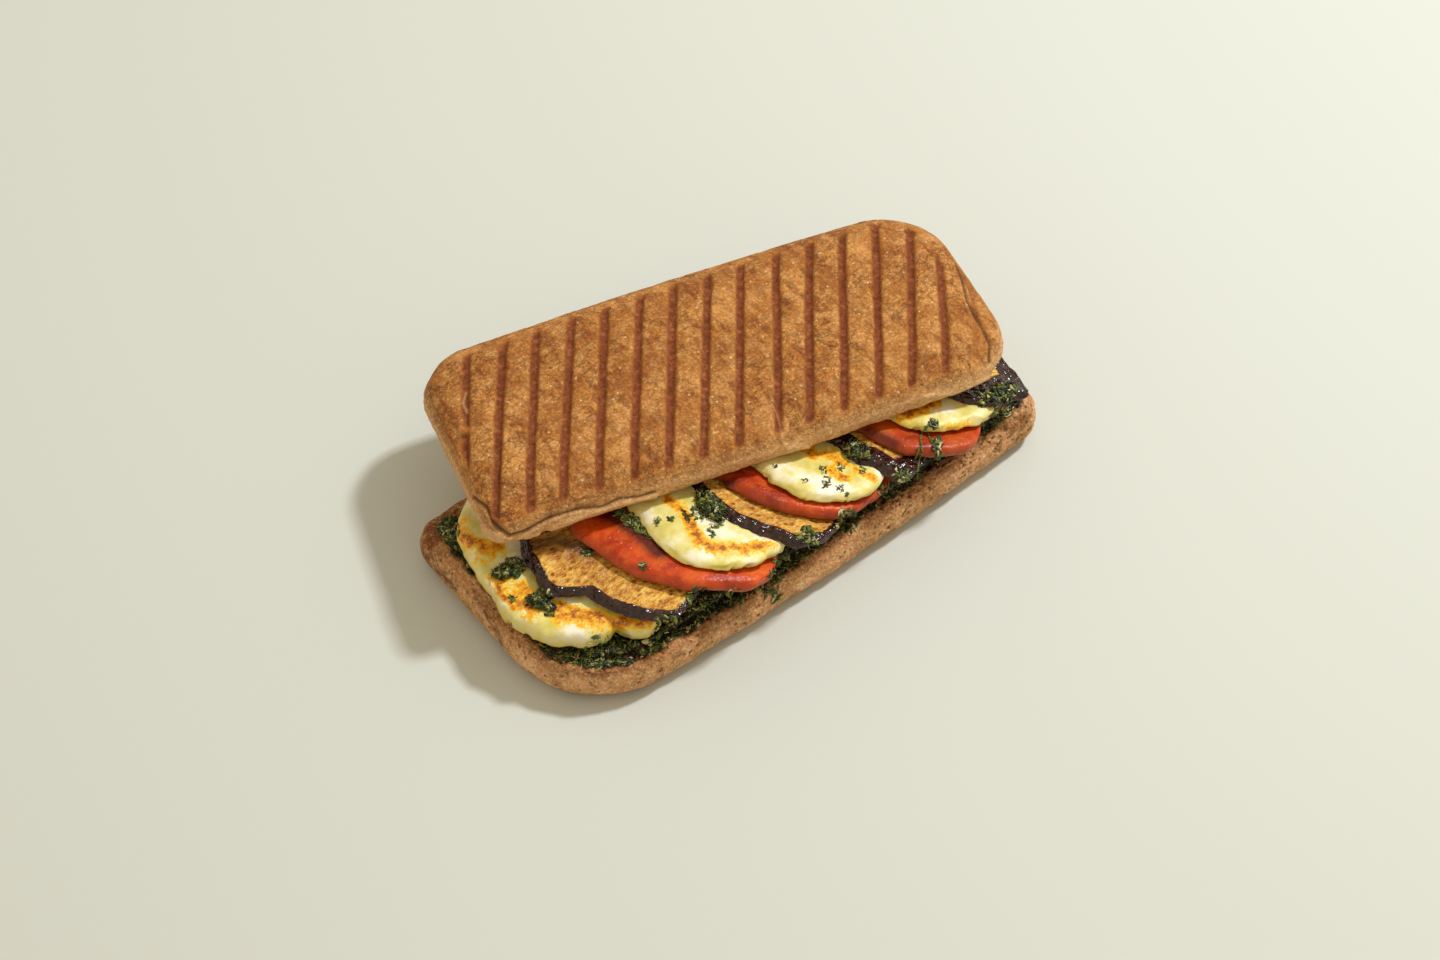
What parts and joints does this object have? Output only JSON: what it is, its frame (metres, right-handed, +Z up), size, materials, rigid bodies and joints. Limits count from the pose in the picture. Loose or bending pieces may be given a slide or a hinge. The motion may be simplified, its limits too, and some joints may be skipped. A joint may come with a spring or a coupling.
{
  "type": "eggplant halloumi sandwich",
  "caption": "Grilled flatbread sandwich, open along one long side, filled with leaning slices of halloumi, eggplant and tomato on green herb pesto.",
  "frame": {"origin": "on the table, under the middle of the lower bread's underside", "axes": "+X along the lower bread's long side, +Y towards the closed back, -Y towards the open front with the slices, +Z up"},
  "size_m": [0.2107, 0.1349, 0.0503],
  "materials": {
    "bread": "toasted bread crust",
    "halloumi": "fried cheese, slightly shiny",
    "eggplant": "fried eggplant with a dark oily skin",
    "tomato": "wet cut tomato",
    "pesto": "oily chopped herbs"
  },
  "bodies": {
    "root": {"bread_base": "bread", "bread_lid": "bread", "pesto_spread": "pesto", "pesto_dab_1": "pesto", "pesto_dab_2": "pesto", "pesto_dab_3": "pesto", "pesto_dab_4": "pesto", "pesto_dab_5": "pesto", "halloumi_1": "halloumi", "halloumi_2": "halloumi", "halloumi_3": "halloumi", "halloumi_4": "halloumi", "eggplant_1": "eggplant", "eggplant_2": "eggplant", "eggplant_3": "eggplant", "eggplant_4": "eggplant", "tomato_1": "tomato", "tomato_2": "tomato", "tomato_3": "tomato"}
  },
  "joints": []
}
